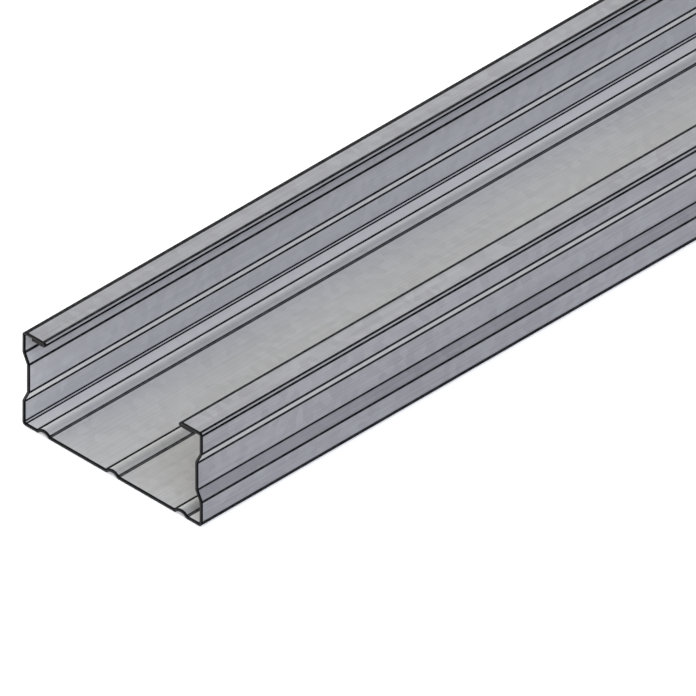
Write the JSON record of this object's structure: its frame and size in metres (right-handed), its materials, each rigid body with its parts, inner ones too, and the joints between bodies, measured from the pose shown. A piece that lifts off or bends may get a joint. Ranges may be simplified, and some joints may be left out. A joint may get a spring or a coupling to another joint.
{
  "type": "ceiling channel",
  "caption": "Roll-formed lipped steel channel for hung ceilings: ribbed web for screwing boards to, grooved side walls, and inward lips with folded edges that hangers hook under.",
  "frame": {"origin": "middle of the web's underside, half way along the channel", "axes": "+X across the web, +Y along the length, +Z from the web towards the open side between the lips"},
  "size_m": [0.06, 3, 0.027],
  "materials": {
    "galvanised_steel": "hot-dip galvanised sheet, satin, lightly polished along its length by the forming rolls"
  },
  "bodies": {
    "root": {"channel": "galvanised_steel"}
  },
  "joints": []
}
